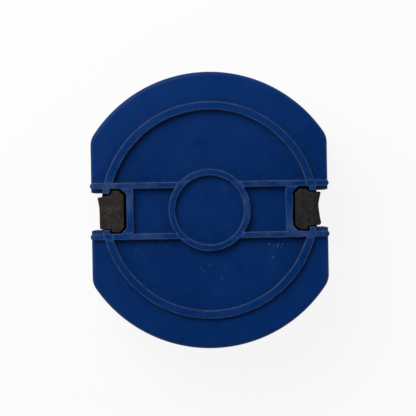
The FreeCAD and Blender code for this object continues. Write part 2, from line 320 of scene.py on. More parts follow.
def ribs():
    """Ring, hub ring, bars with round ends, ties, detents, gussets, and the low ledges beside the bars.

    Each kind stands a hair lower than the one before, so no two tops meet in one plane.
    """
    start = math.asin(bar_y / ring_mid)
    rings = [rib("ring", arc_path(ring_mid, start, math.pi - start), ring_half)]
    rings.append(rib("ring", arc_path(ring_mid, math.pi + start, math.tau - start), ring_half))
    rings.append(rib("hub", arc_path(hub_mid, 0, math.tau)[:-1], hub_half, closed=True))
    end_x = flat_x + bar_overhang - bar_half
    hub_x = math.sqrt(hub_mid ** 2 - bar_y ** 2)
    bead_foot = cover_top + 1.3 * mm
    bars, beads, ties, detents = [], [], [], []
    for sx in (1, -1):
        ties.append(rib("tie", straight_path((sx * tie_x, -bar_y), (sx * tie_x, bar_y)), tie_half))
        for sy in (1, -1):
            path = straight_path((sx * hub_x, sy * bar_y), (sx * end_x, sy * bar_y))
            bars.append(rib("bar", path, bar_half))
            beads.append(post("bead", sx * end_x, sy * bar_y, bar_half, bead_foot, half_height, 0.45 * mm))
    for corner, reach in enumerate((0.3 * mm, 0.5 * mm, 0.05 * mm, 0.2 * mm)):
        tip = mouth_half - reach
        detent = rounded([(detent_in - 0.3 * mm, tip), (detent_out - 0.6 * mm, tip),
                          (detent_out + 0.1 * mm, bar_y), (detent_in - 0.55 * mm, bar_y)], 0.5 * mm)
        detents.append(block("detent", sides(detent)[corner], rib_foot, half_height, 0.4 * mm))
    chamfer_x, chamfer_y, reach = pocket_x + pocket_chamfer, band - pocket_chamfer, 1.2 * mm
    gusset = [(tie_x, chamfer_y - reach), (pocket_x, chamfer_y), (chamfer_x, band),
              (chamfer_x + reach, bar_y), (tie_x, bar_y)]
    gussets = [block("gusset", outline, rib_foot, half_height, 0.3 * mm) for outline in sides(gusset)]
    ledge = rectangle(ring_mid - 1 * mm, flat_x - edge_round, bar_y, bar_y + bar_half + ledge_width)
    ledges = [block("ledge", outline, rib_foot, field_z + 0.45 * mm, 0.25 * mm) for outline in sides(ledge)]
    hair = 0.006 * mm
    kinds = (rings, bars, beads, ties, detents, gussets, ledges)
    for step, kind in enumerate(kinds):
        for part in kind:
            part.data.transform(Matrix.Translation((0, 0, step * -hair)))
    return [part for kind in kinds for part in kind]


screw_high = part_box("outer_cover_screws")[1]
screw_head = 2.8 * mm
end_boss_y = screw_high.y - screw_head
side_boss_x = screw_high.x - screw_head
cavity_radius = disc_radius - wall
side_boss_y = (well_half + well_wall + math.sqrt(cavity_radius ** 2 - side_boss_x ** 2)) / 2
screw_places = [(sx * side_boss_x, sy * side_boss_y) for sx in (1, -1) for sy in (1, -1)]
screw_places += [(0.0, end_boss_y), (0.0, -end_boss_y)]

housing = shell_body()
combined(housing, shell_cutters(), "DIFFERENCE")
combined(housing, [shell_cavity()], "DIFFERENCE")
combined(housing, ribs(), "UNION")
hole_top = cover_top + 5 * mm
holes = [post("hole", x, y, screw_radius, 0, hole_top, 0.1 * mm) for x, y in screw_places]
combined(housing, holes, "DIFFERENCE")


def placed(name, mesh, place):
    """A copy of a half's mesh, put where the outer or the inner half is."""
    copy = mesh.copy()
    copy.transform(place)
    return linked(name, copy)


def finish(name, **values):
    """A new material with its node tree and its shader, whose plain inputs are set by name."""
    material = bpy.data.materials.new(name)
    material.use_nodes = True
    shader = material.node_tree.nodes["Principled BSDF"]
    for key, value in values.items():
        shader.inputs[key.replace("_", " ")].default_value = value
    return material, material.node_tree, shader


def put(tree, kind, settings=None, **inputs):
    """Adds a node, sets it up, and feeds its inputs with values or with other nodes' outputs."""
    node = tree.nodes.new(kind)
    for key, value in (settings or {}).items():
        setattr(node, key, value)
    for key, value in inputs.items():
        socket = node.inputs[int(key[1:])] if key[0] == "_" else node.inputs[key.replace("_", " ")]
        if isinstance(value, bpy.types.NodeSocket):
            tree.links.new(value, socket)
        else:
            socket.default_value = value
    return node


def where(tree):
    """The place on the piece, in metres."""
    return put(tree, "ShaderNodeTexCoord").outputs["Object"]


def at(tree, x=0.0, y=0.0, z=0.0):
    """A place or a direction from three numbers."""
    return put(tree, "ShaderNodeCombineXYZ", _0=x, _1=y, _2=z).outputs[0]


def apart(tree, place):
    """The three numbers of a place or a direction."""
    return put(tree, "ShaderNodeSeparateXYZ", Vector=place).outputs


def off_axis(tree, place):
    """How far a place is from the upright axis."""
    flat = put(tree, "ShaderNodeVectorMath", {"operation": "MULTIPLY"}, _0=place, _1=(1, 1, 0)).outputs[0]
    return put(tree, "ShaderNodeVectorMath", {"operation": "LENGTH"}, _0=flat).outputs["Value"]


def cloud(tree, size, detail=3.0, stretch=(1, 1, 1), offset=(0, 0, 0)):
    """Soft noise from 0 to 1 whose lumps are about this big."""
    spot = put(tree, "ShaderNodeMapping", Vector=where(tree), Location=offset,
               Scale=[s / size for s in stretch])
    return put(tree, "ShaderNodeTexNoise", Vector=spot.outputs[0], Scale=1.0, Detail=detail,
               Roughness=0.55).outputs["Fac"]


def eased(tree, value, low, high, to_low=0.0, to_high=1.0):
    """Turns a value between low and high smoothly into one between to_low and to_high."""
    node = put(tree, "ShaderNodeMapRange", {"interpolation_type": "SMOOTHSTEP"}, Value=value, From_Min=low,
               From_Max=high, To_Min=to_low, To_Max=to_high)
    return node.outputs["Result"]


def maths(tree, operation, *values):
    """One step of arithmetic on numbers or on other nodes' outputs."""
    inputs = {f"_{i}": value for i, value in enumerate(values)}
    return put(tree, "ShaderNodeMath", {"operation": operation}, **inputs).outputs[0]


def product(tree, *values):
    """All the values multiplied."""
    result = values[0]
    for value in values[1:]:
        result = maths(tree, "MULTIPLY", result, value)
    return result


def blended(tree, share, a, b):
    """Colour a where share is 0 and colour b where it is 1."""
    node = put(tree, "ShaderNodeMix", {"data_type": "RGBA"}, _0=share)
    for socket, value in ((node.inputs[6], a), (node.inputs[7], b)):
        if isinstance(value, bpy.types.NodeSocket):
            tree.links.new(value, socket)
        else:
            socket.default_value = (*value, 1)
    return node.outputs[2]


def raised(tree, shader, height, distance, strength=1.0):
    """Bumps the surface by a height, distance being the height of 1 in metres."""
    bump = put(tree, "ShaderNodeBump", Height=height, Distance=distance, Strength=strength)
    tree.links.new(bump.outputs[0], shader.inputs["Normal"])


def blue_plastic(name, ribbed=True):
    """Matt blue moulding plastic, its rib edges pale from wear and painted highlight, with smears, fine
    grain and painted shade in corners.
    """
    material, tree, shader = finish(name, Specular_IOR_Level=0.07)
    place = apart(tree, where(tree))
    middle = (outer_face + inner_face) / 2
    height = maths(tree, "ABSOLUTE", maths(tree, "ADD", place[2], -middle))
    crest = half_height + (outer_face - inner_face) / 2
    facing = apart(tree, put(tree, "ShaderNodeTexCoord").outputs["Normal"])
    level = maths(tree, "ABSOLUTE", facing[2])
    # Pale on the rounded top edges of the ribs: partly wear, partly a painted highlight where these edges
    # would catch the side light.
    tilted = product(tree, eased(tree, level, 0.15, 0.5), eased(tree, level, 0.85, 0.985, 1.0, 0.0))
    on_ribs = eased(tree, height, crest - 0.7 * mm, crest - 0.35 * mm)
    patchy = eased(tree, cloud(tree, 2.5 * mm, 5), 0.32, 0.62, 0.35, 1.0)
    worn_and_highlit = product(tree, tilted, on_ribs, patchy)
    away = maths(tree, "ABSOLUTE", place[1])
    by_bars = product(tree, eased(tree, away, bar_y + 1.2 * mm, bar_y + 2.2 * mm, 0.8, 0.1), on_ribs)
    by_bars = product(tree, by_bars, eased(tree, cloud(tree, 11 * mm, 6, (1, 1, 1), (4, 4, 0)), 0.4, 0.72))

    radius = off_axis(tree, where(tree))
    outside_hub = eased(tree, radius, hub_mid, hub_mid + 0.8 * mm)
    corner = 0.0
    lines = [(radius, ring_mid + ring_half), (radius, ring_mid - ring_half), (radius, hub_mid + hub_half),
             (radius, hub_mid - hub_half), (away, bar_y + bar_half), (away, bar_y - bar_half)]
    for reading, line in lines:
        off = maths(tree, "ABSOLUTE", maths(tree, "ADD", reading, -line))
        near_line = eased(tree, off, 0.1 * mm, 0.75 * mm, 1.0, 0.0)
        if reading is away:
            near_line = product(tree, near_line, outside_hub)
        corner = maths(tree, "MAXIMUM", corner, near_line)
    # Darker on the low faces beside the rib feet: painted shade, where these corners would lie in shadow.
    floor = eased(tree, height, crest - 1.4 * mm, crest - 1.0 * mm, 1.0, 0.0)
    painted_corner_shade = product(tree, corner, floor, patchy)
    # Pale lines along the rib edges on the rib tops: painted highlight, partly wear.
    edges = product(tree, corner, on_ribs, patchy, 0.7)
    worn_and_highlit = maths(tree, "MAXIMUM", worn_and_highlit, edges)

    mottle = eased(tree, cloud(tree, 30 * mm, 5), 0.3, 0.7)
    body = blended(tree, mottle, (0.0002, 0.0192, 0.113), (0.0010, 0.0264, 0.139))
    streaks = eased(tree, cloud(tree, 1.6 * mm, 4, (1, 1, 1), (5, 0, 3)), 0.3, 0.7, 0.0, 0.5)
    body = blended(tree, streaks, body, (0.0018, 0.0305, 0.149))
    smears = eased(tree, cloud(tree, 9 * mm, 6, (1, 0.6, 1), (3, 1, 0)), 0.52, 0.8, 0.0, 0.5)
    body = blended(tree, smears, body, (0.0052, 0.0335, 0.147))
    if ribbed:
        # First the painted corner shade, then the pale rib edges (wear and painted highlight) and the paler
        # rib tops near the bars.
        body = blended(tree, painted_corner_shade, body, (0.0125, 0.0270, 0.082))
        body = blended(tree, maths(tree, "MAXIMUM", worn_and_highlit, by_bars), body, (0.038, 0.08, 0.19))
    specks = put(tree, "ShaderNodeTexVoronoi", Vector=where(tree), Scale=1 / (1.6 * mm))
    dots = eased(tree, specks.outputs["Distance"], 0.05, 0.11, 1.0, 0.0)
    dusty = eased(tree, cloud(tree, 13 * mm, 3, (1, 1, 1), (7, 2, 0)), 0.55, 0.72)
    dust = product(tree, dots, dusty, 0.3)
    body = blended(tree, dust, body, (0.10, 0.15, 0.24))
    tree.links.new(body, shader.inputs["Base Color"])
    dull = eased(tree, cloud(tree, 6 * mm, 4, (1, 1, 1), (1, 5, 2)), 0.3, 0.7, 0.35, 0.46)
    dull = maths(tree, "ADD", dull, product(tree, worn_and_highlit, -0.06))
    tree.links.new(dull, shader.inputs["Roughness"])
    sparks = cloud(tree, 0.22 * mm, 2)
    sink = cloud(tree, 7 * mm, 2)
    raised(tree, shader, maths(tree, "ADD", product(tree, sparks, 0.12), sink), 0.16 * mm, 0.8)
    return material


plastic = blue_plastic("moulded_blue_plastic")
housings = {"outer": placed("outer_housing_moulding", housing.data, to_outer),
            "inner": placed("inner_housing_moulding", housing.data, to_inner)}
for half, piece in housings.items():
    piece.data.materials.clear()
    piece.data.materials.append(plastic)
    piece.data.shade_smooth()
    piece.data.set_sharp_from_angle(angle=math.radians(38))
    weighted = piece.modifiers.new("even_flats", "WEIGHTED_NORMAL")
    weighted.keep_sharp = True
    weighted.weight = 90
    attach(piece, f"{half}_half")
    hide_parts(f"{half}_housing")
bpy.data.objects.remove(housing)


# Finger serrations. On the sunk lands beside each mouth the mould leaves a row of small half-round ridges in
# the same plastic, which keep wet fingers from sliding off. They run from the mouth to the bar.
def tree_of(name, sizes):
    """An empty geometry tree with geometry in and out, a material input and named size inputs."""
    tree = bpy.data.node_groups.new(name, "GeometryNodeTree")
    tree.interface.new_socket("Geometry", in_out="OUTPUT", socket_type="NodeSocketGeometry")
    tree.interface.new_socket("Geometry", in_out="INPUT", socket_type="NodeSocketGeometry")
    tree.interface.new_socket("Material", in_out="INPUT", socket_type="NodeSocketMaterial")
    for label, value in sizes.items():
        kind = "NodeSocketInt" if isinstance(value, int) else "NodeSocketFloat"
        tree.interface.new_socket(label, in_out="INPUT", socket_type=kind)
    return tree, put(tree, "NodeGroupInput").outputs


def closed_tree(tree, geometry, material):
    """Ends a tree: instances made real, material set."""
    real = put(tree, "GeometryNodeRealizeInstances", Geometry=geometry)
    painted = put(tree, "GeometryNodeSetMaterial", Geometry=real.outputs[0], Material=material)
    put(tree, "NodeGroupOutput", _0=painted.outputs[0])


def grown(name, tree, material, sizes, base=None):
    """Runs a geometry tree on a mesh, with its inputs set, and gives the result as a plain mesh."""
    carrier = linked(name, base or bpy.data.meshes.new(name))
    modifier = carrier.modifiers.new("grow", "NODES")
    modifier.node_group = tree
    values = {**sizes, "Material": material}
    for socket in tree.interface.items_tree:
        if socket.in_out == "INPUT" and socket.name in values:
            modifier[socket.identifier] = values[socket.name]
    mesh = bpy.data.meshes.new_from_object(carrier.evaluated_get(bpy.context.evaluated_depsgraph_get()))
    carrier.modifiers.clear()
    bpy.data.objects.remove(carrier)
    mesh.name = name
    return mesh


def serration_tree():
    """Rows of ridges for the four lands of a half, all a little different."""
    sizes = {"Count": 4, "Pitch": 1.0, "First": 1.0, "Near": 1.0, "Far": 1.0, "Height": 1.0, "Radius": 1.0}
    tree, given = tree_of("finger_serrations", sizes)
    line = put(tree, "GeometryNodeCurvePrimitiveLine", Start=at(tree, y=given["Near"]),
               End=at(tree, y=given["Far"]))
    fine = put(tree, "GeometryNodeResampleCurve", Curve=line.outputs[0], Count=7)
    along = put(tree, "GeometryNodeSplineParameter").outputs["Factor"]
    thin = put(tree, "ShaderNodeMapRange", {"interpolation_type": "SMOOTHSTEP"}, Value=along, From_Min=0.0,
               From_Max=0.3, To_Min=0.45, To_Max=1.0)
    shaped = put(tree, "GeometryNodeSetCurveRadius", Curve=fine.outputs[0], Radius=thin.outputs[0])
    section = put(tree, "GeometryNodeCurvePrimitiveCircle", Resolution=10, Radius=given["Radius"])
    ridge = put(tree, "GeometryNodeCurveToMesh", Curve=shaped.outputs[0], Profile_Curve=section.outputs[0],
                Scale=put(tree, "GeometryNodeInputRadius").outputs[0], Fill_Caps=True)
    row = put(tree, "GeometryNodeMeshLine", Count=given["Count"], Offset=at(tree, given["Pitch"]),
              Start_Location=at(tree, given["First"], z=given["Height"]))
    parts = []
    for seed, (across, over) in enumerate(((1, 1), (1, -1), (-1, 1), (-1, -1))):
        jitter = put(tree, "FunctionNodeRandomValue", {"data_type": "FLOAT_VECTOR"}, Seed=seed + 3,
                     Min=(0.85, 1, 0.6), Max=(1.25, 1, 1.25))
        placed_row = put(tree, "GeometryNodeInstanceOnPoints", Points=row.outputs[0],
                         Instance=ridge.outputs[0], Scale=jitter.outputs[0])
        real = put(tree, "GeometryNodeRealizeInstances", Geometry=placed_row.outputs[0])
        mirrored = put(tree, "GeometryNodeTransform", Geometry=real.outputs[0], Scale=(across, over, 1))
        faces = mirrored.outputs[0]
        if over != across:
            faces = put(tree, "GeometryNodeFlipFaces", Mesh=faces).outputs[0]
        parts.append(faces)
    together = put(tree, "GeometryNodeJoinGeometry")
    for faces in parts:
        tree.links.new(faces, together.inputs[0])
    closed_tree(tree, together.outputs[0], given["Material"])
    return tree


def worn_and_highlit_plastic():
    """The same blue, polished pale along the ridges by fingers and given painted highlights there, darker
    blue between them.
    """
    material, tree, shader = finish("finger_worn_highlit_blue", Specular_IOR_Level=0.3)
    # Pale patches on the ridges: partly finger wear, partly painted highlight standing for the ridges'
    # glints.
    worn = eased(tree, cloud(tree, 0.9 * mm, 4), 0.35, 0.65)
    body = blended(tree, worn, (0.003, 0.024, 0.105), (0.050, 0.095, 0.205))
    tree.links.new(body, shader.inputs["Base Color"])
    tree.links.new(eased(tree, worn, 0.0, 1.0, 0.5, 0.3), shader.inputs["Roughness"])
    raised(tree, shader, cloud(tree, 0.3 * mm), 0.04 * mm, 0.7)
    return material


serrations = serration_tree()
worn_highlit_blue = worn_and_highlit_plastic()
pitch = (flat_x - edge_round / 2 - detent_out) / 4
row_sizes = {"Count": 4, "Pitch": pitch, "First": detent_out + pitch / 2, "Near": mouth_half + 0.1 * mm,
             "Far": band + 0.4 * mm, "Height": land_z, "Radius": 0.26 * mm}
for half, place in (("outer", to_outer), ("inner", to_inner)):
    ridges = placed(f"{half}_finger_serrations", grown("ridges", serrations, worn_highlit_blue, row_sizes), place)
    ridges.data.shade_smooth()
    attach(ridges, f"{half}_half")


# Grips. Each half has two blocks of soft black rubber, pressed in from the pad side and held by a foot
# flange. Their hollowed finger faces stand in the mouths. Bloom, grit and a gate mark show on their tops.
def smooth_line(points, count):
    """A smooth run through points, for edges that aren't straight."""
    made = []
    for i in range(count):
        t = i / count * (len(points) - 1)
        k = int(t)
        before, start = Vector(points[max(k - 1, 0)]), Vector(points[k])
        end, after = (Vector(points[min(k + ahead, len(points) - 1)]) for ahead in (1, 2))
        t -= k
        bend = (2 * before - 5 * start + 4 * end - after) * t * t
        twist = (3 * start - before - 3 * end + after) * t ** 3
        made.append(0.5 * (2 * start + (end - before) * t + bend + twist))
    return made


def rubber_block(name, corners, face, seed):
    """A grip on its outline and finger face, in millimetres in its half's frame, softened all over."""
    outline = [Vector(p) * mm for p in list(corners) + smooth_line(face, 12) + [Vector(face[-1])]]
    flip = sum(a.x * b.y - b.x * a.y for a, b in zip(outline, outline[1:] + outline[:1])) < 0
    outline = outline[::-1] if flip else outline
    foot, head = grip_low.z - outer_face, grip_high.z - outer_face
    body = block(name, outline, foot, head)
    side = 1 if corners[0][0] > 0 else -1
    flange_x = sorted((side * (grip_low.x + 2.25 * mm), side * (grip_low.x + 5.4 * mm)))
    flange_y, flange_height = grip_high.y - 0.15 * mm, 1.4 * mm
    flange = block("flange", rectangle(*flange_x, -flange_y, flange_y), foot, foot + flange_height)
    combined(body, [flange], "UNION")
    remesh = body.modifiers.new("soften", "REMESH")
    remesh.mode = "VOXEL"
    remesh.voxel_size = 0.2 * mm
    plain(body)
    relax = body.modifiers.new("relax", "SMOOTH")
    relax.factor = 0.5
    relax.iterations = 5
    plain(body)
    normals = [vertex.normal.copy() for vertex in body.data.vertices]
    for vertex, normal in zip(body.data.vertices, normals):
        slow = noise.noise(vertex.co / (5 * mm) + Vector((0, 0, seed)))
        quick = noise.noise(vertex.co / (0.9 * mm) + Vector((0, 0, seed)))
        vertex.co += normal * (0.07 * slow + 0.03 * quick) * mm
    body.data.shade_smooth()
    return body


def rubber(name, colour, pale, gate, seed, mark, band):
    """Soft black rubber, bloomed in patches, with grit, a gate mark, and a worn band by the finger face."""
    material, tree, shader = finish(name, Specular_IOR_Level=0.25)
    lumps = cloud(tree, 2.6 * mm, 5, offset=(seed, 0, 0))
    body = blended(tree, eased(tree, lumps, 0.4, 0.63), colour, pale)
    grit = eased(tree, cloud(tree, 0.5 * mm, 3, offset=(0, seed, 0)), 0.58, 0.72, 0.0, 0.5)
    body = blended(tree, grit, body, [c * 2.2 for c in pale])
    beside = maths(tree, "ABSOLUTE", apart(tree, where(tree))[0])
    worn = eased(tree, cloud(tree, 1.8 * mm, 5, offset=(0, 0, seed)), 0.35, 0.6, 0.3, 1.0)
    worn = product(tree, worn, eased(tree, beside, 40.4 * mm, 41.2 * mm), band)
    body = blended(tree, worn, body, [c * k for c, k in zip(colour, (0.9, 0.6, 0.6))])
    spot = put(tree, "ShaderNodeVectorMath", {"operation": "SUBTRACT"}, _0=where(tree), _1=(*gate, 0))
    stray = product(tree, maths(tree, "ADD", cloud(tree, 1.1 * mm, 3), -0.5), 1.3 * mm)
    ragged = maths(tree, "ADD", off_axis(tree, spot.outputs[0]), stray)
    outside = eased(tree, ragged, 0.9 * mm, 1.5 * mm, 1.0, 0.0)
    ring = product(tree, eased(tree, ragged, 0.35 * mm, 0.8 * mm), outside)
    body = blended(tree, product(tree, ring, mark), body, [c * 1.9 for c in pale])
    pit = eased(tree, ragged, 0.2 * mm, 0.42 * mm, 1.0, 0.0)
    body = blended(tree, product(tree, pit, 0.9), body, [c * 0.35 for c in colour])
    tree.links.new(body, shader.inputs["Base Color"])
    tree.links.new(eased(tree, lumps, 0.3, 0.7, 0.55, 0.7), shader.inputs["Roughness"])
    relief = maths(tree, "ADD", product(tree, ring, 0.5), product(tree, pit, -0.9))
    skin = product(tree, cloud(tree, 0.35 * mm, 3), 0.35)
    raised(tree, shader, maths(tree, "ADD", relief, skin), 0.15 * mm, 0.8)
    return material


left_corners = [(-38.95, 6.5), (-38.6, 8.3), (-35.8, 8.2), (-33.95, 6.2), (-33.8, -6.1), (-35.6, -8.3),
                (-38.6, -8.35), (-38.95, -7.05), (-43.0, -7.0)]
left_face = [(-43.5, -6.8), (-43.55, -4.5), (-43.55, -1.5), (-43.7, 1.5), (-44.0, 3.6), (-44.35, 5.5)]
right_corners = [(39.0, -6.95), (38.7, -8.35), (35.7, -8.4), (33.8, -6.5), (33.75, 6.1), (35.5, 7.85),
                 (38.6, 7.85), (39.0, 6.7), (43.4, 6.6)]
right_face = [(44.05, 6.3), (43.55, 4.2), (43.1, 1.6), (43.35, -1.2), (43.7, -3.8), (44.05, -5.8),
              (43.4, -6.6)]
left_rubber = rubber("brown_black_rubber", (0.0098, 0.0072, 0.0060), (0.0242, 0.0186, 0.0152),
                     (-39.9 * mm, 0.0), 3.0, 0.5, 0.25)
right_rubber = rubber("grey_black_rubber", (0.0060, 0.0056, 0.0049), (0.0156, 0.0144, 0.0126),
                      (39.3 * mm, 0.0), 11.0, 0.22, 0.6)
shapes = {"left": (rubber_block("left_block", left_corners, left_face, 2.0), left_rubber),
          "right": (rubber_block("right_block", right_corners, right_face, 7.0), right_rubber)}
for side, (block_shape, material) in shapes.items():
    block_shape.data.materials.clear()
    block_shape.data.materials.append(material)
    for half, place in (("outer", to_outer), ("inner", to_inner)):
        grip = placed(f"{half}_{side}_rubber_grip", block_shape.data, place)
        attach(grip, f"grip_{half}_{side}")
        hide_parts(f"{half}_{side}_grip")
    bpy.data.objects.remove(block_shape)


# Covers. A flat plate of the same blue plastic closes the pad side of each half. It drops into the skirt, is
# screwed to six bosses, and carries the fences that hold the magnets. Only its rim shows beside the pad.
def paint(node, material):
    """Gives a carried-over piece its finish."""
    for material_slot in bpy.data.objects[node].material_slots:
        material_slot.material = material


cover_plastic = blue_plastic("plain_blue_plastic", ribbed=False)
for half in housings:
    paint(f"{half}_cover", cover_plastic)


# Pads. A pad is glued to each cover: dense grey wool felt that wipes the dry side of the glass, and a
# harsher pad of dark bonded nylon fibres for the wet side. Both are die cut, with loose fibres on them.
pad_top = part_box("outer_felt_pad")[1].z - outer_face
pad_inset = disc_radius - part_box("outer_felt_pad")[1].y


def pad_outline():
    """The pad's outline with its two notches, in short even steps, its corners a little worn."""
    reach = flat_x - pad_inset
    notch = [(reach, -mouth_half), (detent_in, -mouth_half), (detent_in, mouth_half), (reach, mouth_half)]
    points = [point.xy for point in rim(pad_inset, 0) if abs(point.y) > mouth_half]
    upper = [point for point in points if point.y > 0]
    lower = [point for point in points if point.y < 0]
    run = [Vector(c) for c in notch] + upper + [Vector((-x, y)) for x, y in reversed(notch)] + lower
    steps = []
    for start, end in zip(run, run[1:] + run[:1]):
        count = max(1, round((end - start).length / (0.7 * mm)))
        steps += [start.lerp(end, i / count) for i in range(count)]
    for _ in range(4):
        after = steps[1:] + steps[:1]
        steps = [(steps[i - 1] + point * 2 + after[i]) / 4 for i, point in enumerate(steps)]
    return steps


def cut_pad(name, uneven, seed):
    """A die-cut pad with rounded, slightly uneven edges and flat faces."""
    outline = pad_outline()
    loops = []
    profile = [(0.3, 0.0), (0.12, 0.06), (0.03, 0.25), (0.08, 0.6), (0.02, 0.95), (0.07, 1.35), (0.0, 1.7),
               (0.05, 2.1), (0.13, 2.34), (0.3, 2.4)]
    for depth, (inset, z) in enumerate(profile):
        loop = []
        for point in drawn_in(outline, inset * mm):
            ragged = noise.noise(Vector((point.x / (2.2 * mm), point.y / (2.2 * mm), depth * 0.5 + seed)))
            inward = point.normalized() * -abs(ragged) * uneven
            loop.append(Vector((point.x + inward.x, point.y + inward.y, z * pad_top / profile[-1][1])))
        loops.append(loop)
    pad = lofted(name, loops)
    for face in pad.data.polygons:
        face.use_smooth = len(face.vertices) == 4
    return pad


def fibre_tree(name):
    """Bent fibres scattered over a pad and lying on it, with the pad itself."""
    sizes = {"Density": 1.0, "Length": 1.0, "Thickness": 1.0, "Lift": 1.0, "Seed": 1, "Disc Radius": 1.0,
             "Half Width": 1.0, "Notch Start": 1.0, "Notch Half": 1.0}
    tree, given = tree_of(name, sizes)
    position = put(tree, "GeometryNodeInputPosition").outputs[0]
    spot = apart(tree, position)
    across = maths(tree, "ABSOLUTE", spot[0])
    along = maths(tree, "ABSOLUTE", spot[1])
    clear = product(tree, maths(tree, "LESS_THAN", off_axis(tree, position), given["Disc Radius"]),
                    maths(tree, "LESS_THAN", across, given["Half Width"]))
    by_notch = maths(tree, "MAXIMUM", maths(tree, "GREATER_THAN", along, given["Notch Half"]),
                     maths(tree, "LESS_THAN", across, given["Notch Start"]))
    spread = put(tree, "GeometryNodeDistributePointsOnFaces", Mesh=given["Geometry"],
                 Density=given["Density"], Seed=given["Seed"], Selection=product(tree, clear, by_notch))
    start, end = (at(tree, product(tree, given["Length"], share)) for share in (-0.5, 0.5))
    bow = at(tree, y=product(tree, given["Length"], 0.45), z=given["Lift"])
    arc = put(tree, "GeometryNodeCurveQuadraticBezier", Resolution=4, Start=start, Middle=bow, End=end)
    section = put(tree, "GeometryNodeCurvePrimitiveCircle", Resolution=3, Radius=given["Thickness"])
    fibre = put(tree, "GeometryNodeCurveToMesh", Curve=arc.outputs[0], Profile_Curve=section.outputs[0],
                Fill_Caps=True)
    spin = put(tree, "FunctionNodeRandomValue", {"data_type": "FLOAT_VECTOR"}, Min=(-0.06, -0.06, 0),
               Max=(0.06, 0.06, math.tau), Seed=given["Seed"])
    turned = put(tree, "FunctionNodeEulerToRotation", Euler=spin.outputs[0])
    laid = put(tree, "FunctionNodeRotateRotation", {"rotation_space": "LOCAL"},
               Rotation=spread.outputs["Rotation"], Rotate_By=turned.outputs[0])
    varied = put(tree, "FunctionNodeRandomValue", {"data_type": "FLOAT_VECTOR"}, Min=(0.5, 0.3, 0.5),
                 Max=(1.0, 1.2, 1.3), Seed=maths(tree, "ADD", given["Seed"], 5.0))
    fibres = put(tree, "GeometryNodeInstanceOnPoints", Points=spread.outputs["Points"],
                 Instance=fibre.outputs[0], Rotation=laid.outputs[0], Scale=varied.outputs[0])
    together = put(tree, "GeometryNodeJoinGeometry", Geometry=given["Geometry"])
    tree.links.new(fibres.outputs[0], together.inputs[0])
    closed_tree(tree, together.outputs[0], given["Material"])
    return tree


def fibrous(name, dark, light, lump, hair, roughness, sheen, depth):
    """A pad's finish: matted fibres in several greys, with clumps and gaps, and a soft sheen."""
    material, tree, shader = finish(name, Roughness=roughness, Specular_IOR_Level=0.15, Sheen_Weight=sheen,
                                    Sheen_Roughness=0.6)
    clumps = cloud(tree, lump, 4)
    strands = cloud(tree, hair, 3, (1, 0.25, 1))
    crossing = cloud(tree, hair, 3, (0.25, 1, 1), (2, 2, 2))
    matted = maths(tree, "MAXIMUM", strands, crossing)
    body = blended(tree, eased(tree, matted, 0.45, 0.75), dark, light)
    body = blended(tree, eased(tree, clumps, 0.45, 0.75, 0.0, 0.5), body, [c * 0.7 for c in dark])
    tree.links.new(body, shader.inputs["Base Color"])
    raised(tree, shader, maths(tree, "ADD", matted, product(tree, clumps, 0.6)), depth, 0.9)
    return material


felt = fibrous("grey_wool_felt", (0.16, 0.16, 0.155), (0.36, 0.355, 0.34), 3.5 * mm, 0.28 * mm, 0.95, 0.35,
               0.2 * mm)
scour = fibrous("dark_scouring_fibre", (0.012, 0.014, 0.016), (0.055, 0.06, 0.062), 1.6 * mm, 0.5 * mm, 0.7,
                0.1, 0.5 * mm)
fibres = fibre_tree("loose_fibres")
pads = (("outer", "felt_pad", felt, to_outer, 0.12 * mm, "felt",
         {"Density": 0.3e6, "Length": 2.4 * mm, "Thickness": 0.016 * mm, "Lift": 0.10 * mm, "Seed": 4}),
        ("inner", "scouring_pad", scour, to_inner, 0.3 * mm, "scouring_fibre",
         {"Density": 0.36e6, "Length": 4.4 * mm, "Thickness": 0.045 * mm, "Lift": 0.10 * mm, "Seed": 9}))
for half, kind, material, place, uneven, slot_name, sizes in pads:
    margin = 0.62 * sizes["Length"] + pad_inset
    sizes |= {"Disc Radius": disc_radius - margin, "Half Width": flat_x - margin,
              "Notch Start": detent_in - margin, "Notch Half": mouth_half + margin}
    flat_pad = cut_pad(kind, uneven, sizes["Seed"])
    mesh = grown(kind, fibres, material, sizes, flat_pad.data)
    bpy.data.objects.remove(flat_pad)
    pad = placed(f"{half}_{kind}_fibres", mesh, place)
    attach(pad, f"{half}_half")
    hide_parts(f"{half}_{kind}")


# Magnets. Four sintered ferrite blocks and a disc behind the hub stand on the cover inside each half, under
# a keeper plate of zinc-plated steel that links their backs. A sheet of foam presses the stack down.
def ferrite_finish():
    """Dark grey sintered ferrite: fine grain, ground faces with faint scratches, dust in the pores."""
    material, tree, shader = finish("sintered_ferrite")
    grain = cloud(tree, 0.18 * mm, 4)
    body = blended(tree, eased(tree, grain, 0.35, 0.7), (0.030, 0.030, 0.034), (0.060, 0.060, 0.064))
    body = blended(tree, eased(tree, cloud(tree, 5 * mm, 5), 0.5, 0.75, 0.0, 0.5), body,
                   (0.075, 0.07, 0.066))
    ground = cloud(tree, 0.12 * mm, 2, (1, 0.02, 1))
    tree.links.new(body, shader.inputs["Base Color"])
    tree.links.new(eased(tree, ground, 0.3, 0.7, 0.42, 0.66), shader.inputs["Roughness"])
    raised(tree, shader, maths(tree, "ADD", grain, ground), 0.05 * mm, 0.8)
    return material


def steel_finish(name, colour, stain, brushed, roughness):
    """Bright metal with a rolled or turned grain and dull patches."""
    material, tree, shader = finish(name, Metallic=1.0)
    patches = cloud(tree, 6 * mm, 5)
    lines = cloud(tree, 0.1 * mm, 2, brushed)
    body = blended(tree, eased(tree, patches, 0.4, 0.75), colour, stain)
    tree.links.new(body, shader.inputs["Base Color"])
    gloss = maths(tree, "ADD", eased(tree, lines, 0.3, 0.7, roughness - 0.08, roughness + 0.08),
                  eased(tree, patches, 0.4, 0.75, 0.0, 0.12))
    tree.links.new(gloss, shader.inputs["Roughness"])
    raised(tree, shader, lines, 0.02 * mm, 0.7)
    return material


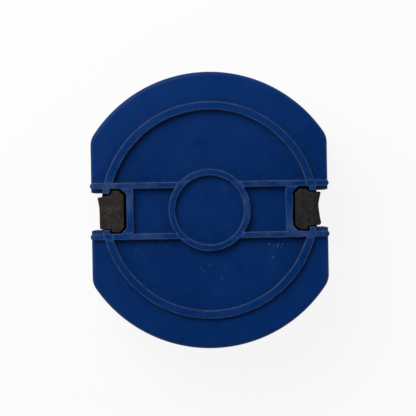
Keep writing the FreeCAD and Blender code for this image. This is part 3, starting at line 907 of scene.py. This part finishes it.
def foam_finish():
    """Charcoal foam with small round cells."""
    material, tree, shader = finish("charcoal_foam", Roughness=0.95, Specular_IOR_Level=0.1)
    cells = put(tree, "ShaderNodeTexVoronoi", Vector=where(tree), Scale=1 / (0.5 * mm)).outputs["Distance"]
    body = blended(tree, eased(tree, cells, 0.1, 0.6), (0.012, 0.012, 0.013), (0.06, 0.06, 0.062))
    body = blended(tree, eased(tree, cloud(tree, 7 * mm), 0.4, 0.7, 0.0, 0.4), body, (0.045, 0.044, 0.042))
    tree.links.new(body, shader.inputs["Base Color"])
    raised(tree, shader, cells, 0.25 * mm)
    return material


ferrite = ferrite_finish()
keeper_steel = steel_finish("zinc_plated_steel", (0.52, 0.53, 0.54), (0.40, 0.41, 0.40), (1, 0.02, 1), 0.36)
foam = foam_finish()
for half in housings:
    for number in (1, 2, 3, 4):
        paint(f"{half}_magnet_{number}", ferrite)
    paint(f"{half}_hub_magnet", ferrite)
    paint(f"{half}_keeper_plate", keeper_steel)
    paint(f"{half}_foam_sheet", foam)


# Seal and screws. A moulded rubber cord lies in the cover's groove and keeps water off the magnets, and six
# countersunk stainless screws with hexagon sockets pull the cover down on it.
def seal_finish():
    """Black seal rubber with a dull bloom and moulding grain."""
    material, tree, shader = finish("black_seal_rubber", Specular_IOR_Level=0.35)
    bloom = eased(tree, cloud(tree, 3 * mm, 5), 0.45, 0.75)
    tree.links.new(blended(tree, bloom, (0.01, 0.01, 0.011), (0.03, 0.03, 0.031)),
                   shader.inputs["Base Color"])
    tree.links.new(eased(tree, bloom, 0.0, 1.0, 0.5, 0.75), shader.inputs["Roughness"])
    raised(tree, shader, cloud(tree, 0.2 * mm), 0.03 * mm, 0.7)
    return material


seal_rubber = seal_finish()
screw_steel = steel_finish("stainless_steel", (0.60, 0.59, 0.57), (0.47, 0.46, 0.44), (1, 1, 0.1), 0.3)
for half in housings:
    paint(f"{half}_cover_seal", seal_rubber)
    paint(f"{half}_cover_screws", screw_steel)


# Dust. Pale grit and lint from the last wipe lie loose on the sunk back face of the outer half. They are
# thickest in two drifts below the bars.
def dust_tree():
    """Flattened grains strewn around a centre on a flat floor, thinning outwards."""
    sizes = {"Count": 10, "Across": 1.0, "Along": 1.0, "Reach": 1.0, "Height": 1.0, "Grain": 1.0, "Seed": 1}
    tree, given = tree_of("dust_drift", sizes)
    grains = put(tree, "GeometryNodePoints", Count=given["Count"])
    way = put(tree, "FunctionNodeRandomValue", {"data_type": "FLOAT"}, Seed=given["Seed"])
    way.inputs[3].default_value = math.tau
    far = put(tree, "FunctionNodeRandomValue", {"data_type": "FLOAT"},
              Seed=maths(tree, "ADD", given["Seed"], 1.0))
    reach = product(tree, maths(tree, "POWER", far.outputs[1], 1.7), given["Reach"])
    turn = way.outputs[1]
    east = maths(tree, "ADD", product(tree, maths(tree, "COSINE", turn), reach), given["Across"])
    north = maths(tree, "ADD", product(tree, maths(tree, "SINE", turn), reach, 0.55), given["Along"])
    strewn = put(tree, "GeometryNodeSetPosition", Geometry=grains.outputs[0],
                 Position=at(tree, east, north, given["Height"]))
    grain = put(tree, "GeometryNodeMeshIcoSphere", Radius=given["Grain"], Subdivisions=1)
    size = put(tree, "FunctionNodeRandomValue", {"data_type": "FLOAT"},
               Seed=maths(tree, "ADD", given["Seed"], 2.0))
    uneven = maths(tree, "ADD", maths(tree, "POWER", size.outputs[1], 3.5), 0.3)
    shape = at(tree, uneven, product(tree, uneven, 0.75), product(tree, uneven, 0.45))
    spin = put(tree, "FunctionNodeEulerToRotation", Euler=at(tree, z=turn)).outputs[0]
    strewn = put(tree, "GeometryNodeInstanceOnPoints", Points=strewn.outputs[0], Instance=grain.outputs[0],
                 Rotation=spin, Scale=shape)
    closed_tree(tree, strewn.outputs[0], given["Material"])
    return tree


def dust_finish():
    """Pale grit and lint, a little varied."""
    material, tree, shader = finish("pale_dust", Roughness=0.9)
    body = blended(tree, eased(tree, cloud(tree, 0.8 * mm), 0.35, 0.65), (0.09, 0.16, 0.3),
                   (0.42, 0.46, 0.52))
    tree.links.new(body, shader.inputs["Base Color"])
    raised(tree, shader, cloud(tree, 0.1 * mm), 0.03 * mm, 0.6)
    return material


dust, drift = dust_finish(), dust_tree()
# A drift's place across and along, its reach, its number of grains and their size, in millimetres.
drifts = ((-20, -13.8, 8, 16, 0.12), (27, -13.8, 4, 12, 0.24), (-28, -16, 6, 9, 0.12),
          (24, -20, 3, 5, 0.18), (4, -27, 22, 34, 0.09), (-3, 29, 24, 16, 0.07), (0, 0, 11, 7, 0.07))
gathered = bmesh.new()
for seed, (across, along, reach, count, grain) in enumerate(drifts):
    height = hub_z if seed == len(drifts) - 1 else recess_z
    sizes = {"Count": count, "Across": across * mm, "Along": along * mm, "Reach": reach * mm,
             "Height": height, "Grain": grain * mm, "Seed": seed * 10 + 1}
    gathered.from_mesh(grown("drift", drift, dust, sizes))
all_dust = bpy.data.meshes.new("dust")
gathered.to_mesh(all_dust)
gathered.free()
all_dust.materials.append(dust)
dust_piece = placed("outer_recess_dust", all_dust, to_outer)
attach(dust_piece, "outer_half")


# Light and camera. The cleaner lies on a pale table in even studio light, which comes mostly from the sides
# and a little more from the upper left, and is seen from straight above.
table_edge = 1.2
table_top = rectangle(-table_edge, table_edge, -table_edge, table_edge)
table = lofted("table", [[(x, y, z) for x, y in table_top] for z in (-0.05, -0.0002)])
table.data.materials.append(finish("pale_table", Roughness=0.9, Base_Color=(0.1, 0.1, 0.098, 1),
                                   Specular_IOR_Level=0.1, Emission_Color=(1, 1, 1, 1),
                                   Emission_Strength=0.885)[0])

world = bpy.data.worlds.new("studio")
world.use_nodes = True
bpy.context.scene.world = world
sky = world.node_tree
up = apart(sky, put(sky, "ShaderNodeTexCoord").outputs["Generated"])[2]
strength = eased(sky, up, 0.35, 0.8, 0.95, 0.06)
sky.links.new(strength, sky.nodes["Background"].inputs["Strength"])
sky.nodes["Background"].inputs["Color"].default_value = (1, 1, 1, 1)

light = bpy.data.lights.new("upper_left", "AREA")
light.shape = "DISK"
light.size = 0.5
light.energy = 3.0
lamp = linked("upper_left", light)
lamp.location = (-0.24, 0.34, 0.45)
lamp.rotation_euler = (Vector((0, 0, 0.02)) - lamp.location).to_track_quat("-Z", "Y").to_euler()

view_height = 0.9
shown_width = 164.32 * mm
camera_data = bpy.data.cameras.new("camera")
camera_data.lens = camera_data.sensor_width * view_height / shown_width
camera = linked("camera", camera_data)
camera.location = (-0.65 * mm, 0.79 * mm, outer_high.z + view_height)
camera.rotation_euler = (0, 0, math.radians(-0.93))
bpy.context.scene.camera = camera
bpy.context.scene.view_settings.view_transform = "Standard"
